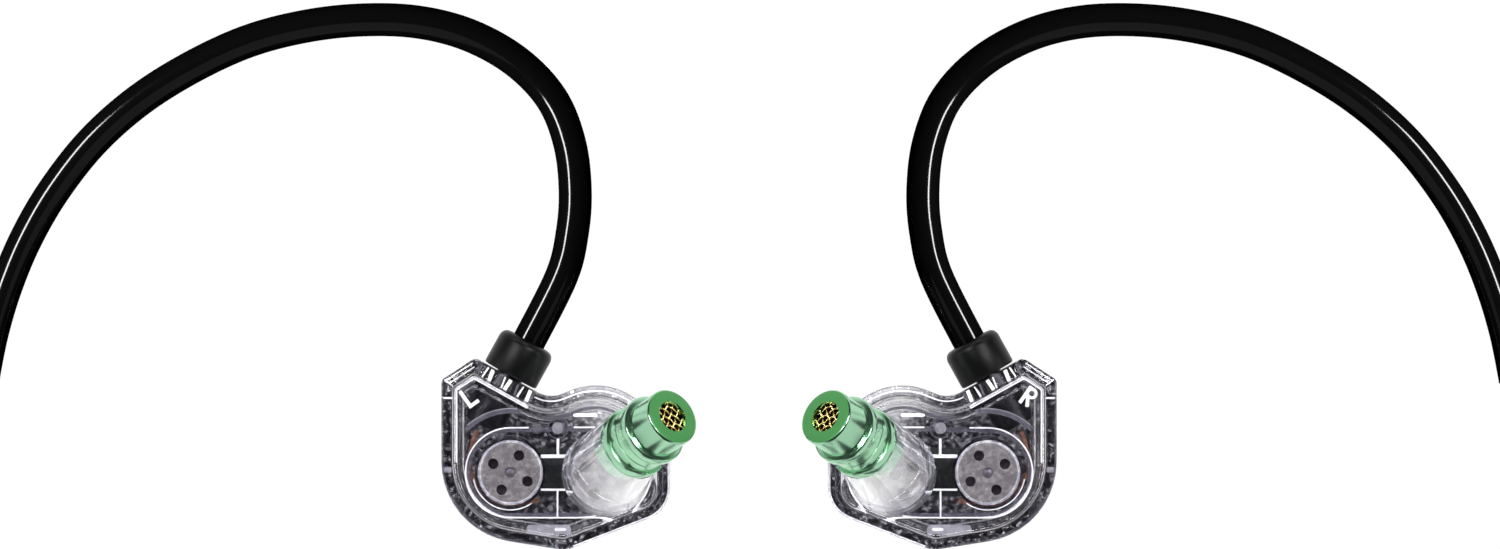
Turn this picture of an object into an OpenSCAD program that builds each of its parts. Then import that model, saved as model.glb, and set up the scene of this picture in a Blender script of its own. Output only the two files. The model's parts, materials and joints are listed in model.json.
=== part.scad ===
// Pair of in-ear monitors with over-ear cables, lying face down on a table.
// +X runs from the left earpiece to the right one, +Y towards the tops of the
// ear hooks and +Z up, away from the table. The left side is drawn, at -X,
// and the right side mirrors it.

/* [Earpiece shell] */
// Width of an earpiece, across the ear
shell_w = 24; // [23:0.5:29]
// Length of an earpiece, from the lobe to the foot
shell_l = 17.2; // [16.4:0.2:21]
// Thickness of an earpiece, without its nozzle
shell_t = 10.2; // [9.8:0.1:12.4]
// Wall of the two shell halves
wall = 1.1; // [0.9:0.1:1.3]
// Step from the flange in to the raised inner shell
flange_step = 1.3; // [1.2:0.1:1.7]
// Thickness of the inner shell's flange
flange_t = 0.9; // [0.6:0.1:1.2]
// Clearance between the inner shell's lip and the outer shell
lip_gap = 0.05; // [0.02:0.01:0.1]

/* [Drivers] */
// Diameter of a driver
driver_d = 6.3; // [5.6:0.1:6.8]
// Height of a driver
driver_h = 3; // [2.4:0.1:3.6]
// Distance between the two drivers
driver_pitch = 9.95; // [9.4:0.05:10.6]
// Clearance round a driver in its cup
driver_gap = 0.05; // [0.02:0.01:0.1]
// Wall of a driver cup
cup_wall = 0.5; // [0.4:0.05:0.6]
// Diameter of each sound hole
hole_d = 1.1; // [0.7:0.1:1.3]
// Circle that the outer sound holes lie on
hole_circle_d = 4; // [3.6:0.1:4.2]

/* [Nozzle] */
// Tilt of the nozzle from straight up
nozzle_tilt = 45; // [40:1:50]
// Diameter of the nozzle's barrel, which an ear tip slides over
barrel_d = 6.1; // [5.4:0.1:6.5]
// Length of the barrel in front of the flange
barrel_l = 3.2; // [2.6:0.1:4]
// Diameter of the flange that stops the ear tip
stop_d = 7.4; // [7:0.1:7.6]
// Diameter of the flange that seats on the stem
seat_d = 7.6; // [7.2:0.1:8]
// Diameter of the neck between the flanges
neck_d = 6.8; // [6:0.1:6.9]
// Diameter of the sound outlet
outlet_d = 3.35; // [2.6:0.05:3.5]
// Diameter of the bore behind the outlet
bore_d = 3.8; // [3.6:0.1:4]
// Diameter of the spigot that plugs into the stem
spigot_d = 5; // [4.6:0.1:5.2]
// Clearance round the spigot, screen and damper
glue_gap = 0.05; // [0.02:0.01:0.08]

/* [Cable connector] */
// Direction of the connector in the plane of the table
connector_angle = 61; // [58:1:64]
// Diameter of the plug's moulded collar
collar_d = 6.1; // [5.6:0.1:6.4]
// Length of the plug's moulded collar
collar_l = 4.1; // [3.6:0.1:5]
// Diameter of the plug's metal sleeve
plug_d = 2.9; // [2.6:0.1:3]
// Length of the plug inside the socket
plug_reach = 4; // [3.8:0.1:4.4]
// Diameter of the centre pin
pin_d = 0.6; // [0.4:0.05:0.7]
// How far the snap ring stands out of the plug's groove
ring_proud = 0.2; // [0.15:0.05:0.3]
// Wall of the socket round the snap ring
socket_wall = 0.5; // [0.4:0.05:0.6]
// Radial clearance between the plug and the socket
plug_gap = 0.05; // [0.02:0.01:0.08]
// Space between the collar and the shell, so that the cable can swivel
swivel_gap = 0.2; // [0.1:0.05:0.3]

/* [Cable] */
// Outer diameter of the ear hook's sleeve
hook_d = 3.5; // [3:0.1:3.5]
// Diameter of each earpiece's lead
lead_d = 2; // [1.6:0.1:2]
// Diameter of the lead between the splitter and the jack plug
main_d = 2.6; // [2:0.1:2.6]
// Length of the splitter
splitter_l = 11; // [11:0.5:14]
// Length of the chin slider
slider_l = 8; // [6:0.5:9]
// Radial clearance between the chin slider and the leads
slider_gap = 0.05; // [0.02:0.01:0.1]
// Thickness of a cable tie
tie_t = 0.6; // [0.4:0.1:0.6]

/* [Jack plug] */
// Diameter of the jack plug's contacts
jack_d = 3.5; // [2.5:0.1:3.5]
// Length of the jack plug's contacts
jack_l = 14; // [13:0.5:15]
// Diameter of the jack plug's handle
handle_d = 7; // [6:0.2:7]
// Length of the jack plug's handle
handle_l = 12; // [10:0.5:16]
// Length of the strain relief
relief_l = 7; // [6:0.5:7]

/* [Hidden] */
$fn = 48;
eps = 0.01;
// How deep pieces of one solid run into each other
bite = 0.3;
LEFT = false;
RIGHT = true;

// Where the earpiece's own layout lies in the whole frame
ear_y = -17;

// Shell outline, counter-clockwise: [x, y, radius] of each corner
right_x = -8.3;
left_x = right_x - shell_w;
trough = [-21, 4.1];
lobe_y = 6.4;
foot_y = lobe_y - 1 - shell_l;
along = [cos(connector_angle), sin(connector_angle)];
across = [-along[1], along[0]];
seat_edge_l = 8.9;
seat_from_trough = 4.8;
top_corner = trough + across * seat_edge_l;
OUTLINE = [
    [left_x, top_corner[1] - 2.3, 0.8],
    [left_x, foot_y + 2.1, 8.5],
    [-19.2, foot_y, 3],
    [right_x, foot_y + 4.2, 3.5],
    [right_x, 1.6, 4],
    [-15.2, lobe_y, 7],
    [trough[0], trough[1], 3],
    [top_corner[0], top_corner[1], 0.8]
];
arc_steps = 8;

// Heights
split_z = 4.6;
ceiling_z = shell_t - wall;
foot_step = 0.8;
lip_h = 0.8;
lip_t = 1;

// Drivers
rear_x = -24.9;
front_x = rear_x + driver_pitch;
driver_y = -3.5;
driver_r = driver_d / 2;
cup_r = driver_r + driver_gap;
driver_top = ceiling_z - 0.3;
driver_z = driver_top - driver_h;
case_wall = 0.25;
grille_t = 0.3;
hole_turn = 63;
chamber_r = 4.74;
chamber_t = 0.6;
chamber_h = 1.5;
duct_half = 1.75;

// Post that lines the two halves up
post = [-20, 1.1];
post_r = 0.65;
post_boss_r = 1.45;
post_end = wall + 0.4;

// Nozzle: local +Z points out of the sound outlet, from the front face
nozzle_turn = 35.2;
nozzle_front = [-7.86, 2.53, shell_t + 8.8];
stop_l = 1.1;
neck_l = 2.2;
seat_l = 1.2;
nozzle_l = barrel_l + stop_l + neck_l + seat_l;
spigot_l = 2;
outlet_l = 0.6;
screen_t = 0.15;
damper_l = 2.5;
damper_at = -6.2;
stem_root_r = cup_r + 1.4;
stem_seat_r = 3.6;

// Connector: local +Z points out of the shell, from the middle of its seat
seat = trough + across * seat_from_trough;
plug_r = plug_d / 2;
ring_r = plug_r + ring_proud;
ring_t = 0.4;
ring_at = -2.55;
ring_inner_r = plug_r - 0.25;
groove_side = 0.05;
ring_bore_r = ring_r + plug_gap;
ring_bore_l = 2.9;
plug_bore_r = plug_r + plug_gap;
socket_r = ring_bore_r + socket_wall;
socket_floor = plug_reach + 0.6;
socket_l = socket_floor + 1.2;
boss_r = socket_r + 0.8;
boss_l = socket_l + 0.6;
boss_back = 0.15;
pin_r = pin_d / 2;
contact_r = pin_r + plug_gap + 0.27;
contact_from = -socket_floor - 0.8;
contact_to = -plug_reach + 0.8;
core_r = contact_r + 0.28;
core_to = -plug_reach + 1;
pin_from = -plug_reach + 0.2;
plug_back = 3;
collar_top = swivel_gap + collar_l;

// Board and wires
board = [10, 5, 0.6];
board_at = [-20, -3.5, 2.2];
board_post_r = 0.6;
wire_r = 0.28;
wire_pitch = 0.7;

// Ear hook and lead: hand-laid points of the left side, [x, y, z]
lead_r = lead_d / 2;
hook_r = hook_d / 2;
hook_wall = 0.65;
collar_end = [
    seat[0] + along[0] * collar_top,
    seat[1] + along[1] * collar_top + ear_y,
    split_z
];
HOOK_ROUTE = [
    collar_end,
    [-19.7, 0, 4.3], [-18.6, 4.5, 3.7], [-18.3, 9, 3], [-18.9, 14, 2.4],
    [-20.8, 18.7, 2], [-24.5, 22.6, 1.8], [-29.5, 25.4, 1.75],
    [-35, 26.8, 1.75], [-41, 27, 1.75], [-47, 26.3, 1.75],
    [-53, 24.7, 1.75], [-59, 21.9, 1.75], [-64.5, 18.4, 1.75],
    [-69.3, 14.1, 1.75], [-73.3, 9, 1.75], [-76.2, 4, 1.75],
    [-78.3, -1, 1.75], [-79.8, -6, 1.75], [-80.8, -11, 1.75]
];
LEAD_IN = [
    [-81.3, -17, 1.3], [-81.4, -23, 1], [-80.9, -29, 1],
    [-79.8, -35, 1.2], [-78.2, -41, 1.5], [-77, -46, 1.6]
];
LEAD_OUT = [
    [-66, -57, 5.6], [-60, -57, 4.9], [-53, -56, 3.2], [-45, -53.4, 1.5],
    [-36, -48.4, 1], [-27, -42.8, 1], [-18, -39, 1], [-10, -37.6, 1],
    [-4.8, -38.6, 1.2], [-2.2, -42, 1.7], [-1.6, -47, 2], [-1.6, -70, 2]
];
lead_coil_at = [-66, -46];
lead_coil_r = 11;
lead_coil_layers = 3;
coil_lift = 0.6;

// Splitter, chin slider and main lead
main_r = main_d / 2;
splitter_y = -70;
splitter_h = 4;
splitter_w = 7.6;
splitter_end_w = 4.4;
lead_spread = 1.6;
lead_z = 2;
slider_w = 7;
slider_h = 4;
slider_rest_gap = 1;
MAIN_IN = [
    [0, splitter_y - splitter_l, 2], [0.6, splitter_y - splitter_l - 2.6, 1.7],
    [2.6, -86, 1.4], [6, -87.6, 1.3], [11, -88.2, 1.3], [17, -88, 1.4],
    [23, -87.3, 1.7], [28, -86.9, 1.9]
];
MAIN_OUT = [
    [28, -86.9, 4.5], [33, -86.9, 4.5], [38, -86, 4.2], [42, -83, 3.8],
    [45, -79.5, 3.6], [48, -76.9, 3.5], [51, -76, 3.5]
];
main_coil_at = [28, -69];
main_coil_r = 14;
main_coil_turns = 4;
main_coil_layers = 2;
tie_w = 3;
tie_gap = 0.3;

// Jack plug, along +X
jack_at = [51, -76, 3.5];
jack_r = jack_d / 2;
band_l = 0.6;
tip_l = 4;
ring_l = 2.4;
jack_core_r = 1;
jack_end = relief_l + handle_l + jack_l;

// Channel letters
letter_h = 2.1;
letter_w = 1.25;
stroke = 0.36;
letter_t = 0.12;
letter_at = [-29.2, 4.4];
letter_turn = 35;

// ---- Outlines ----

function unit(v) = v / norm(v);
function inward(v) = [-v[1], v[0]];
function wrap(i, n) = (i + n) % n;

// Direction of the edge that leaves corner i
function edge_dir(p, i) = unit([
    p[wrap(i + 1, len(p))][0] - p[i][0],
    p[wrap(i + 1, len(p))][1] - p[i][1]
]);

// Points of corner i, moved in by inset and rounded
function corner(p, i, inset) =
    let(
        a = edge_dir(p, wrap(i - 1, len(p))),
        b = edge_dir(p, i),
        na = inward(a),
        nb = inward(b),
        turn = atan2(a[0] * b[1] - a[1] * b[0], a * b),
        side = turn > 0 ? 1 : -1,
        at = [p[i][0], p[i][1]] + (na + nb) * inset / (1 + na * nb),
        r = max(p[i][2] - side * inset, 0.15),
        start = at - a * r * tan(abs(turn) / 2),
        centre = start + na * r * side,
        arm = start - centre
    )
    [for (k = [0:arc_steps])
        let(t = turn * k / arc_steps)
        centre + [arm[0] * cos(t) - arm[1] * sin(t), arm[0] * sin(t) + arm[1] * cos(t)]
    ];

function shell_points(inset) =
    [for (i = [0:len(OUTLINE) - 1]) each corner(OUTLINE, i, inset)];

// Prism of the shell's outline moved in by inset, from z0 to z1
module shell_prism(inset, z0, z1) {
    translate([0, 0, z0]) linear_extrude(z1 - z0) polygon(shell_points(inset));
}

// Stadium round both drivers
module chamber_prism(r, z0, z1) {
    translate([0, driver_y, z0]) linear_extrude(z1 - z0) polygon([
        for (a = [90:7.5:270]) [rear_x + r * cos(a), r * sin(a)],
        for (a = [-90:7.5:90]) [front_x + r * cos(a), r * sin(a)]
    ]);
}

// ---- Placing ----

module on_side(right) {
    if (right) mirror([1, 0, 0]) children();
    else children();
}

module in_ear(right) {
    on_side(right) translate([0, ear_y, 0]) children();
}

module at_nozzle() {
    translate(nozzle_front) rotate([0, nozzle_tilt, nozzle_turn]) children();
}

module at_connector() {
    translate([seat[0], seat[1], split_z]) rotate([0, 90, connector_angle]) children();
}

module at_drivers() {
    for (x = [rear_x, front_x]) translate([x, driver_y, driver_z]) children();
}

module tube(r_out, r_in, z0, z1) {
    translate([0, 0, z0]) difference() {
        cylinder(r = r_out, h = z1 - z0);
        translate([0, 0, -1]) cylinder(r = r_in, h = z1 - z0 + 2);
    }
}

// Ring turned round the local axis from a half profile
module turned(points) {
    rotate_extrude() polygon(points);
}

// ---- Swept tubes ----

function tangent(p, i) = unit(p[min(i + 1, len(p) - 1)] - p[max(i - 1, 0)]);

// Catmull-Rom point between p[i] and p[i + 1]
function between(p, i, t) =
    let(
        a = p[max(i - 1, 0)],
        b = p[i],
        c = p[i + 1],
        d = p[min(i + 2, len(p) - 1)]
    )
    0.5 * (2 * b + (c - a) * t + (2 * a - 5 * b + 4 * c - d) * t * t
        + (3 * b - a - 3 * c + d) * t * t * t);

function smooth(p, steps) = concat(
    [for (i = [0:len(p) - 2]) for (k = [0:steps - 1]) between(p, i, k / steps)],
    [p[len(p) - 1]]
);

function ring_points(p, i, r, sides) =
    let(
        t = tangent(p, i),
        side = unit(cross(t, [0, 0, 1])),
        up = cross(side, t)
    )
    [for (k = [0:sides - 1])
        p[i] + r * (side * cos(360 * (k + 0.5) / sides) + up * sin(360 * (k + 0.5) / sides))
    ];

// Solid tube along the points, one ring of corners at each
module cord(p, r, sides = 8) {
    n = len(p);
    polyhedron(
        points = [for (i = [0:n - 1]) each ring_points(p, i, r, sides)],
        faces = concat(
            [[for (k = [0:sides - 1]) k]],
            [for (i = [0:n - 2]) for (k = [0:sides - 1])
                let(next = (k + 1) % sides)
                [i * sides + k, (i + 1) * sides + k, (i + 1) * sides + next, i * sides + next]],
            [[for (k = [sides - 1:-1:0]) (n - 1) * sides + k]]
        )
    );
}

// Hollow tube along the points
module hose(p, r_out, r_in, sides = 8) {
    n = len(p);
    inner = n * sides;
    polyhedron(
        points = concat(
            [for (i = [0:n - 1]) each ring_points(p, i, r_out, sides)],
            [for (i = [0:n - 1]) each ring_points(p, i, r_in, sides)]
        ),
        faces = concat(
            [for (i = [0:n - 2]) for (k = [0:sides - 1])
                let(next = (k + 1) % sides)
                [i * sides + k, (i + 1) * sides + k, (i + 1) * sides + next, i * sides + next]],
            [for (i = [0:n - 2]) for (k = [0:sides - 1])
                let(next = (k + 1) % sides)
                [inner + i * sides + next, inner + (i + 1) * sides + next,
                    inner + (i + 1) * sides + k, inner + i * sides + k]],
            [for (k = [0:sides - 1])
                let(next = (k + 1) % sides)
                [k, next, inner + next, inner + k]],
            [for (k = [0:sides - 1])
                let(next = (k + 1) % sides, last = (n - 1) * sides)
                [last + next, last + k, inner + last + k, inner + last + next]]
        )
    );
}

// ---- Earpiece ----

module socket_boss() {
    at_connector() translate([0, 0, -boss_l]) cylinder(r = boss_r, h = boss_l - boss_back);
}

module socket_hole() {
    at_connector() translate([0, 0, -socket_l]) cylinder(r = socket_r, h = socket_l + 1);
}

// Everything above or below the plane where the halves meet
module half_space(above) {
    translate([left_x - 20, -40, above ? split_z : split_z - 40]) cube([60, 80, 40]);
}

// Tray that faces outwards, on the table
module outer_shell(right) {
    color("dimgray", 0.6) in_ear(right) difference() {
        union() {
            difference() {
                union() {
                    shell_prism(foot_step, 0, 1);
                    shell_prism(0, 1, split_z);
                }
                shell_prism(wall, wall, split_z + 1);
            }
            intersection() {
                socket_boss();
                half_space(false);
                shell_prism(0, 0, split_z);
            }
            translate([post[0], post[1], wall - bite]) cylinder(r = post_boss_r, h = 2.7);
            for (s = [-1, 1])
                translate([board_at[0] + s * 3.6, board_at[1], wall - bite])
                    cylinder(r = board_post_r, h = board_at[2] - wall + bite);
        }
        socket_hole();
        translate([post[0], post[1], wall]) cylinder(r = post_r + lip_gap, h = 5);
    }
}

module chamber_ribs() {
    z0 = ceiling_z - chamber_h;
    difference() {
        chamber_prism(chamber_r, z0, ceiling_z + bite);
        chamber_prism(chamber_r - chamber_t, z0 - 1, ceiling_z + 1);
    }
    rib_x = (rear_x + front_x) / 2;
    for (s = [-1, 1])
        translate([rib_x - 2, driver_y + s * duct_half - 0.2, z0]) cube([4, 0.4, chamber_h + bite]);
    translate([rib_x - 0.2, driver_y - chamber_r + 0.2, z0])
        cube([0.4, chamber_r - duct_half, chamber_h + bite]);
    translate([rib_x - 0.2, driver_y + duct_half, z0])
        cube([0.4, chamber_r - duct_half - 0.2, chamber_h + bite]);
}

// Raised half that faces the ear, with the two driver cups
module inner_shell(right) {
    color("gray", 0.6) in_ear(right) difference() {
        union() {
            difference() {
                union() {
                    shell_prism(0, split_z, split_z + flange_t);
                    shell_prism(flange_step, split_z + flange_t - bite, shell_t);
                }
                shell_prism(flange_step + wall, split_z - 1, ceiling_z);
            }
            difference() {
                shell_prism(wall + lip_gap, split_z - lip_h, split_z + bite);
                shell_prism(wall + lip_gap + lip_t, split_z - lip_h - 1, split_z + 1);
                at_connector() translate([0, 0, -boss_l - 1]) cylinder(r = boss_r + lip_gap, h = 20);
            }
            intersection() {
                socket_boss();
                half_space(true);
            }
            for (x = [rear_x, front_x]) translate([x, driver_y, driver_z])
                cylinder(r = cup_r + cup_wall, h = ceiling_z - driver_z + bite);
            chamber_ribs();
            translate([post[0], post[1], post_end]) cylinder(r = post_r, h = ceiling_z - post_end + bite);
        }
        socket_hole();
        translate([rear_x, driver_y, driver_z - 1])
            cylinder(r = cup_r, h = ceiling_z - driver_z + 1);
        translate([front_x, driver_y, driver_z - 1])
            cylinder(r = cup_r, h = shell_t - driver_z + 2);
    }
}

module stem_form(r_root, r_seat, z0) {
    hull() {
        translate([front_x, driver_y, z0]) cylinder(r = r_root, h = eps, $fn = 32);
        at_nozzle() translate([0, 0, -nozzle_l - eps]) cylinder(r = r_seat, h = eps, $fn = 32);
    }
}

// Clear tube that leans from the front driver to the nozzle, welded on
module stem(right) {
    color("lightgray", 0.6) in_ear(right) difference() {
        stem_form(stem_root_r, stem_seat_r, shell_t);
        stem_form(cup_r, spigot_d / 2 - 0.1, shell_t - eps);
        at_nozzle() translate([0, 0, -nozzle_l - spigot_l - 0.2])
            cylinder(r = spigot_d / 2 + glue_gap, h = spigot_l + 1);
    }
}

// Turned and anodised tube that holds the ear tip
module nozzle(right) {
    z1 = -barrel_l;
    z2 = z1 - stop_l;
    z3 = z2 - neck_l;
    z4 = z3 - seat_l;
    z5 = z4 - spigot_l;
    color("mediumseagreen") in_ear(right) at_nozzle() turned([
        [outlet_d / 2, 0], [barrel_d / 2 - 0.25, 0], [barrel_d / 2, -0.25], [barrel_d / 2, z1],
        [stop_d / 2, z1], [stop_d / 2, z2], [neck_d / 2, z2], [neck_d / 2, z3],
        [seat_d / 2, z3], [seat_d / 2, z4], [spigot_d / 2, z4], [spigot_d / 2, z5],
        [bore_d / 2, z5], [bore_d / 2, -outlet_l], [outlet_d / 2, -outlet_l]
    ]);
}

module nozzle_screen(right) {
    color("gold") in_ear(right) at_nozzle()
        translate([0, 0, -outlet_l - screen_t]) cylinder(r = bore_d / 2 - glue_gap, h = screen_t);
}

module acoustic_damper(right) {
    color("ivory") in_ear(right) at_nozzle()
        tube(bore_d / 2 - glue_gap, outlet_d / 4, damper_at, damper_at + damper_l);
}

// Can with its perforated grille
module driver_case(right, x) {
    color("silver") in_ear(right) translate([x, driver_y, driver_z]) difference() {
        cylinder(r = driver_r, h = driver_h);
        translate([0, 0, -1]) cylinder(r = driver_r - case_wall, h = driver_h - grille_t + 1);
        cylinder(d = hole_d, h = driver_h + 1);
        for (k = [0:3]) rotate([0, 0, hole_turn + 90 * k])
            translate([hole_circle_d / 2, 0, 0]) cylinder(d = hole_d, h = driver_h + 1);
    }
}

module driver_magnets(right) {
    plate_r = driver_r - case_wall;
    color("slategray") in_ear(right) at_drivers() {
        cylinder(r = plate_r, h = 0.4);
        cylinder(r = 1.1, h = 1.5);
        tube(plate_r - 0.3, plate_r - 0.9, 0.4 - eps, 1.5);
    }
}

module driver_diaphragms(right) {
    color("lightsteelblue") in_ear(right) at_drivers() {
        translate([0, 0, 1.9]) cylinder(r = driver_r - case_wall, h = 0.08);
        tube(1.45, 1.3, 1, 1.9 + eps);
    }
}

module crossover_board(right) {
    color("darkgreen") in_ear(right) translate(board_at) {
        translate([-board[0] / 2, -board[1] / 2, 0]) cube(board);
        for (x = [-3, 0, 3]) translate([x - 0.5, -0.4, board[2] - eps]) cube([1, 0.8, 0.5]);
    }
}

// Enamelled wires from the socket round the rear driver to the board
module signal_wires(right) {
    back = seat - along * (boss_l + 0.05);
    out = seat - along * (boss_l + 0.7);
    color("peru") in_ear(right) for (s = [0, 1]) cord([
        [back[0], back[1], split_z + s * wire_pitch],
        [out[0], out[1], split_z + s * wire_pitch],
        [-29.1, -1.5, 4.5 + s * wire_pitch],
        [-29.3, -3.4, 4.4 + s * wire_pitch],
        [-27.7, -5.7, 4 + s * wire_pitch],
        [-25.4, -6.9, 3.6 + s * wire_pitch],
        [-22, -6.4, 3.4 + s * wire_pitch]
    ], wire_r);
}

module socket_sleeve(right) {
    color("gold") in_ear(right) at_connector() turned([
        [plug_bore_r, -socket_l], [socket_r, -socket_l], [socket_r, 0],
        [ring_bore_r, 0], [ring_bore_r, -ring_bore_l], [plug_bore_r, -ring_bore_l]
    ]);
}

module socket_insulator(right) {
    color("white") in_ear(right) at_connector()
        tube(plug_bore_r, contact_r, -socket_l, -socket_floor);
}

module socket_contact(right) {
    color("gold") in_ear(right) at_connector() {
        tube(contact_r, pin_r + plug_gap, contact_from, contact_to);
        translate([0, 0, -socket_l]) cylinder(r = contact_r, h = contact_from + socket_l);
    }
}

module channel_letter(right) {
    x = right ? -letter_at[0] : letter_at[0];
    turn = right ? -letter_turn : letter_turn;
    color("white") translate([x, letter_at[1] + ear_y, shell_t]) rotate([0, 0, turn])
        translate([-letter_w / 2, -letter_h / 2, 0]) {
            cube([stroke, letter_h, letter_t]);
            if (right) {
                bowl_r = letter_h * 0.28;
                translate([letter_w - bowl_r, letter_h - bowl_r, 0]) difference() {
                    cylinder(r = bowl_r, h = letter_t);
                    translate([0, 0, -1]) cylinder(r = bowl_r - stroke * 0.8, h = letter_t + 2);
                }
                translate([0, letter_h - stroke * 0.8, 0])
                    cube([letter_w - bowl_r, stroke * 0.8, letter_t]);
                translate([0, letter_h - 2 * bowl_r, 0])
                    cube([letter_w - bowl_r, stroke * 0.8, letter_t]);
                translate([letter_w - stroke, 0, 0]) rotate([0, 0, 30])
                    cube([stroke, bowl_r * 1.9, letter_t]);
            } else {
                cube([letter_w, stroke, letter_t]);
            }
        }
}

// ---- Cable plug ----

// Split ring that clicks into the socket
module snap_ring(right) {
    color("goldenrod") in_ear(right) at_connector() difference() {
        tube(ring_r, ring_inner_r, ring_at, ring_at + ring_t);
        translate([0, -0.3, ring_at - 1]) cube([5, 0.6, 3]);
    }
}

module plug_sleeve(right) {
    groove_r = ring_inner_r - 0.03;
    g0 = ring_at - groove_side;
    g1 = ring_at + ring_t + groove_side;
    color("gold") in_ear(right) at_connector() turned([
        [core_r, -plug_reach], [plug_r, -plug_reach], [plug_r, g0], [groove_r, g0],
        [groove_r, g1], [plug_r, g1], [plug_r, plug_back], [core_r, plug_back]
    ]);
}

module plug_insulator(right) {
    color("white") in_ear(right) at_connector() tube(core_r, pin_r, core_to, plug_back);
}

module plug_pin(right) {
    color("gold") in_ear(right) at_connector()
        translate([0, 0, pin_from]) cylinder(r = pin_r, h = plug_back - pin_from);
}

// Moulded collar on the end of the ear hook
module collar(right) {
    r = collar_d / 2;
    color([0.12, 0.12, 0.13]) in_ear(right) at_connector() turned([
        [plug_r, swivel_gap], [r - 0.15, swivel_gap], [r, swivel_gap + 0.15],
        [r, collar_top - 0.7], [r - 0.2, collar_top - 0.2], [r - 0.7, collar_top],
        [0, collar_top], [0, plug_back], [plug_r, plug_back]
    ]);
}

// ---- Cable ----

// Glossy sleeve, preformed to go over the ear
module ear_hook(right) {
    color([0.05, 0.05, 0.05]) on_side(right)
        hose(smooth(HOOK_ROUTE, 2), hook_r, hook_r - hook_wall);
}

module lead(right) {
    color([0.08, 0.08, 0.08]) on_side(right) {
        cord(concat(smooth(HOOK_ROUTE, 2), LEAD_IN), lead_r);
        cord(LEAD_OUT, lead_r);
    }
}

// Outer shape of a coil: turns side by side and in layers
module coil(at, r, d, turns, layers) {
    half = turns * d / 2;
    color([0.1, 0.1, 0.1]) translate([at[0], at[1], coil_lift]) rotate_extrude()
        translate([r - half, 0]) square([turns * d, layers * d]);
}

module lead_coil(right) {
    on_side(right) coil(lead_coil_at, lead_coil_r, lead_d, 1, lead_coil_layers);
}

module main_lead_coil() {
    coil(main_coil_at, main_coil_r, main_d, main_coil_turns, main_coil_layers);
}

module main_lead() {
    color([0.08, 0.08, 0.08]) {
        cord(MAIN_IN, main_r);
        cord(MAIN_OUT, main_r);
    }
}

// Band round one coil, on its +Y side
module tie(at, r, d, turns, layers) {
    w = turns * d + 2 * tie_gap;
    h = coil_lift + layers * d + 0.1;
    translate([at[0] - tie_w / 2, at[1] + r - w / 2, 0]) difference() {
        translate([0, -tie_t, 0]) cube([tie_w, w + 2 * tie_t, h + tie_t]);
        translate([-1, 0, coil_lift - 0.1]) cube([tie_w + 2, w, h - coil_lift + 0.1]);
    }
}

module cable_ties() {
    color("dimgray") {
        for (right = [LEFT, RIGHT])
            on_side(right) tie(lead_coil_at, lead_coil_r, lead_d, 1, lead_coil_layers);
        tie(main_coil_at, main_coil_r, main_d, main_coil_turns, main_coil_layers);
    }
}

// Slides up the two leads, under the chin
module chin_slider() {
    y0 = splitter_y + slider_rest_gap;
    color([0.15, 0.15, 0.15]) difference() {
        translate([0, y0, 0]) linear_extrude(slider_h) polygon([
            [-slider_w / 2 + 1, 0], [slider_w / 2 - 1, 0], [slider_w / 2, 1],
            [slider_w / 2, slider_l - 1], [slider_w / 2 - 1, slider_l],
            [-slider_w / 2 + 1, slider_l], [-slider_w / 2, slider_l - 1], [-slider_w / 2, 1]
        ]);
        for (s = [-1, 1]) translate([s * lead_spread, y0 - 1, lead_z]) rotate([-90, 0, 0])
            cylinder(r = lead_r + slider_gap, h = slider_l + 2);
    }
}

module splitter() {
    color([0.15, 0.15, 0.15]) translate([0, splitter_y - splitter_l, 0])
        linear_extrude(splitter_h) polygon([
            [-splitter_end_w / 2, 0], [splitter_end_w / 2, 0],
            [splitter_w / 2, splitter_l * 0.6], [splitter_w / 2, splitter_l - 0.8],
            [splitter_w / 2 - 0.8, splitter_l], [-splitter_w / 2 + 0.8, splitter_l],
            [-splitter_w / 2, splitter_l - 0.8], [-splitter_w / 2, splitter_l * 0.6]
        ]);
}

// ---- Jack plug ----

module along_jack() {
    translate(jack_at) rotate([0, 90, 0]) children();
}

module jack_strain_relief() {
    color([0.1, 0.1, 0.1]) along_jack()
        turned([[0, 0], [main_r + 0.4, 0], [main_r + 1.3, relief_l], [0, relief_l]]);
}

module jack_handle() {
    r = handle_d / 2;
    z1 = relief_l + handle_l;
    color([0.13, 0.13, 0.13]) along_jack() turned([
        [0, relief_l], [r - 0.6, relief_l], [r, relief_l + 0.6], [r, z1 - 0.5],
        [r - 0.5, z1], [0, z1]
    ]);
}

// Core with the two bands that part the contacts
module jack_insulator() {
    z0 = relief_l + handle_l;
    z1 = jack_end - tip_l - ring_l - 2 * band_l;
    z2 = jack_end - tip_l - band_l;
    color("dimgray") along_jack() turned([
        [0, z0], [jack_core_r, z0], [jack_core_r, z1], [jack_r, z1], [jack_r, z1 + band_l],
        [jack_core_r, z1 + band_l], [jack_core_r, z2], [jack_r, z2], [jack_r, z2 + band_l],
        [0, z2 + band_l]
    ]);
}

module jack_sleeve() {
    z1 = jack_end - tip_l - ring_l - 2 * band_l;
    color("gold") along_jack() tube(jack_r, jack_core_r, relief_l + handle_l, z1);
}

module jack_ring() {
    z0 = jack_end - tip_l - ring_l - band_l;
    color("gold") along_jack() tube(jack_r, jack_core_r, z0, z0 + ring_l);
}

module jack_tip() {
    z0 = jack_end - tip_l;
    color("gold") along_jack() turned([
        [0, z0], [jack_r, z0], [jack_r, z0 + 0.5], [jack_r - 0.45, z0 + 1.1],
        [jack_r, z0 + 2], [jack_r - 0.3, z0 + 2.8], [0.4, z0 + tip_l], [0, z0 + tip_l]
    ]);
}

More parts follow.
